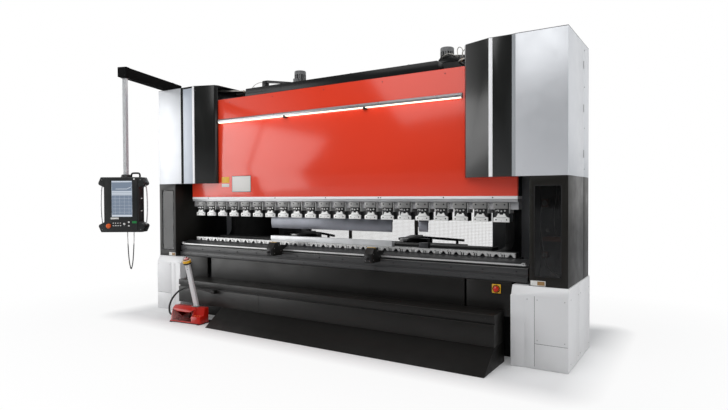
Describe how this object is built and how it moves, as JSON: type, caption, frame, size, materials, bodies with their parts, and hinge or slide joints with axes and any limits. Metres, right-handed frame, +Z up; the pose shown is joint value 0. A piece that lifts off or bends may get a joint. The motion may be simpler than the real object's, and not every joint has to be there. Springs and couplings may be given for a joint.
{
  "type": "press brake",
  "caption": "Large hydraulic press brake: a red ram with a row of punch holders over a V die, silver and black side covers, a console on a swinging arm and a foot switch on the floor.",
  "frame": {"origin": "on the floor under the middle of the bending line, on the underside of the bed plate", "axes": "+X along the bending line to the operator's right, +Y to the rear of the machine, +Z up"},
  "size_m": [5.282, 2.72, 3.16],
  "materials": {
    "frame_black": "satin black paint",
    "cover_black": "semi-gloss black paint",
    "cover_silver": "silver metallic paint",
    "cabinet_grey": "satin anthracite paint",
    "red_paint": "gloss red paint",
    "bright_steel": "ground steel",
    "tool_steel": "hardened tool steel",
    "white_strip": "white",
    "dark_glass": "dark polished",
    "yellow": "yellow",
    "signal_red": "red",
    "guard_steel": "grey painted mesh",
    "rubber": "matt black"
  },
  "bodies": {
    "frame": {"side_frame_left": "frame_black", "side_frame_right": "frame_black", "bed_plate": "frame_black", "oil_tank": "frame_black", "cover_wing_left": "cover_black", "cover_wing_right": "cover_black", "cover_silver_left": "cover_silver", "cover_silver_right": "cover_silver", "base_cover_left": "cover_silver", "base_cover_right": "cover_silver", "rear_cover_left": "cover_silver", "rear_cover_right": "cover_silver", "foot_stand": "cover_silver", "front_beam": "cabinet_grey", "apron_left": "cabinet_grey", "apron_middle": "cabinet_grey", "apron_right": "cabinet_grey", "lower_cover": "cabinet_grey", "toe_skirt": "cabinet_grey", "cylinder_left": "cabinet_grey", "cylinder_right": "cabinet_grey", "side_cabinet_left": "cabinet_grey", "side_cabinet_right": "cabinet_grey", "rear_box_left": "cabinet_grey", "rear_box_right": "cabinet_grey", "pump_unit_left": "cabinet_grey", "pump_unit_right": "cabinet_grey", "gauge_bed": "cabinet_grey", "cord_gland": "cabinet_grey", "die_rail_teeth": "bright_steel", "slide_rail": "bright_steel", "die": "bright_steel", "die_rail": "tool_steel", "window_pane_left": "dark_glass", "window_pane_right": "dark_glass", "main_switch_plate": "yellow", "foot_switch": "signal_red", "rear_guard": "guard_steel", "foot_switch_cord": "rubber"},
    "ram": {"ram_beam": "frame_black", "ram_panel": "red_paint", "ram_cap": "frame_black", "clamp_beam": "bright_steel", "punch": "tool_steel", "light_bar": "white_strip", "cylinder_rod_left": "bright_steel", "cylinder_rod_right": "bright_steel"},
    "carriage_left": {"carriage_left": "cabinet_grey"},
    "carriage_right": {"carriage_right": "cabinet_grey"},
    "main_switch": {"main_switch_knob": "signal_red"},
    "arm": {"console_arm": "cover_black", "console_pole": "bright_steel"},
    "console": {"console_body": "cabinet_grey", "console_loop_cord": "rubber"},
    "gauge": {"gauge_beam": "cabinet_grey"},
    "finger_left": {"gauge_finger_left": "cabinet_grey"},
    "finger_right": {"gauge_finger_right": "cabinet_grey"}
  },
  "joints": [
    {"name": "ram_slide", "type": "slide", "parent": "frame", "child": "ram", "axis": [0, 0, 1], "range_m": [-0.085, 0.155]},
    {"name": "carriage_left_slide", "type": "slide", "parent": "frame", "child": "carriage_left", "axis": [1, 0, 0], "range_m": [-1, 0.55]},
    {"name": "carriage_right_slide", "type": "slide", "parent": "frame", "child": "carriage_right", "axis": [1, 0, 0], "range_m": [-0.6, 1.2]},
    {"name": "main_switch_turn", "type": "hinge", "parent": "frame", "child": "main_switch", "pos_m": [2, -0.232, 0.645], "axis": [0, 1, 0], "range_deg": [0, 90]},
    {"name": "arm_swing", "type": "hinge", "parent": "frame", "child": "arm", "pos_m": [-2.55, -0.1, 2.893], "axis": [0, 0, 1], "range_deg": [-100, 35]},
    {"name": "console_turn", "type": "hinge", "parent": "arm", "child": "console", "pos_m": [-2.25642, -0.98771, 1.745], "axis": [0, 0, 1], "range_deg": [-60, 60]},
    {"name": "gauge_depth", "type": "slide", "parent": "frame", "child": "gauge", "axis": [0, 1, 0], "range_m": [-0.3, 0.55]},
    {"name": "finger_left_slide", "type": "slide", "parent": "gauge", "child": "finger_left", "axis": [1, 0, 0], "range_m": [-0.35, 0.55]},
    {"name": "finger_right_slide", "type": "slide", "parent": "gauge", "child": "finger_right", "axis": [1, 0, 0], "range_m": [-0.55, 0.4]}
  ]
}
